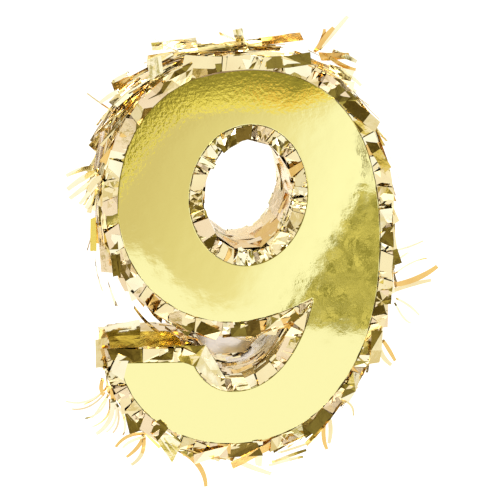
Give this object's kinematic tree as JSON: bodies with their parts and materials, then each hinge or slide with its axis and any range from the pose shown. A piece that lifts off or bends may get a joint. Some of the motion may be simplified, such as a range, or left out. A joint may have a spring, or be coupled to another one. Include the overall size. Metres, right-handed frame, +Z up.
{
  "type": "pinata",
  "caption": "Hollow cardboard pinata shaped as a numeral nine, with mirror-card faces, foil fringe on all its edges, two hanging holes and a filling flap at the back.",
  "frame": {"origin": "hang point: the outside of the top wall, midway between the two hanging holes and midway through the body's thickness", "axes": "+Z up the numeral, +X to the right as the numeral is read, +Y from the front mirror card towards the back, so the front face looks along -Y"},
  "size_m": [0.3483, 0.075, 0.4637],
  "materials": {
    "board": "matte",
    "kraft_pad": "matte",
    "seam_tape": "matte",
    "mirror_card": "polished",
    "foil": "polished"
  },
  "bodies": {
    "shell": {"front_panel": "board", "back_panel": "board", "top_wall": "board", "right_wall": "board", "bottom_wall": "board", "hook_wall": "board", "throat_wall": "board", "bowl_under_wall": "board", "left_wall": "board", "hole_wall": "board", "hanger_pad": "kraft_pad", "front_outer_tape": "seam_tape", "back_outer_tape": "seam_tape", "front_hole_tape": "seam_tape", "back_hole_tape": "seam_tape", "front_face_card": "mirror_card", "back_face_card": "mirror_card", "front_edge_fringe": "foil", "fringe_row_1": "foil", "fringe_row_2": "foil", "fringe_row_3": "foil", "back_edge_fringe": "foil", "front_hole_fringe": "foil", "hole_fringe_row_1": "foil", "hole_fringe_row_2": "foil", "back_hole_fringe": "foil", "loose_curls": "foil", "tinsel_strands": "foil"},
    "flap": {"fill_flap": "board", "flap_face_card": "mirror_card"}
  },
  "joints": [
    {"name": "flap_hinge", "type": "hinge", "parent": "shell", "child": "flap", "pos_m": [0.095, 0.0375, -0.138], "axis": [1, 0, 0], "range_deg": [0, 120]}
  ]
}
